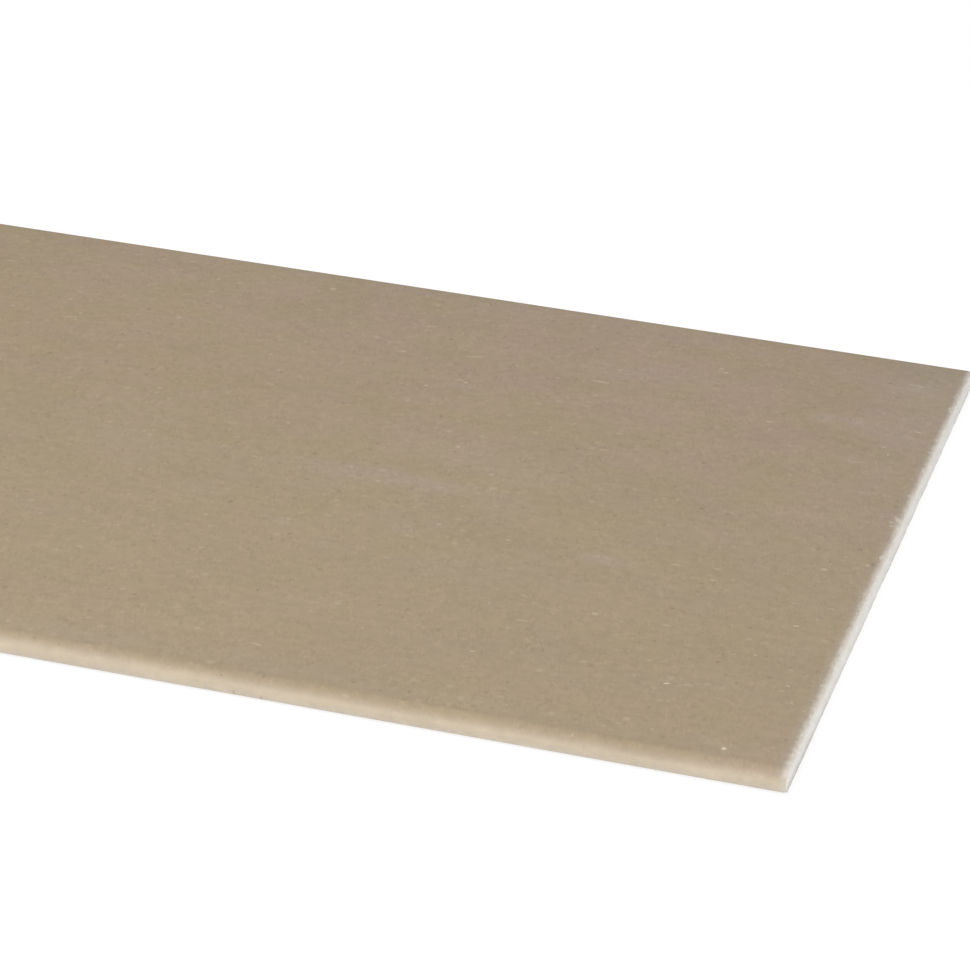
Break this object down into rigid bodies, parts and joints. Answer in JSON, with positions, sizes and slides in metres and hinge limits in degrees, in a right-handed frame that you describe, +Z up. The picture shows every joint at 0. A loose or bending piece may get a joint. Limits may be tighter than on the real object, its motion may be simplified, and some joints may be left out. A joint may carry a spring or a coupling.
{
  "type": "plasterboard sheet",
  "caption": "Long narrow gypsum plasterboard (drywall) sheet with rounded paper-wrapped long edges and square-cut ends that show the white core.",
  "frame": {"origin": "centre of the back face, which is the underside as the board lies", "axes": "+X along the board, +Y across its width, +Z up through its thickness towards the face side"},
  "size_m": [2, 0.4, 0.0095],
  "materials": {
    "gypsum": "matt, porous set plaster, warm off-white",
    "face_paper": "matt grey-brown recycled paper liner with fibres along its length and pale flecks",
    "back_paper": "matt grey-brown recycled paper liner, a shade greyer than the face"
  },
  "bodies": {
    "root": {"gypsum_core": "gypsum", "face_paper": "face_paper", "back_paper": "back_paper"}
  },
  "joints": []
}
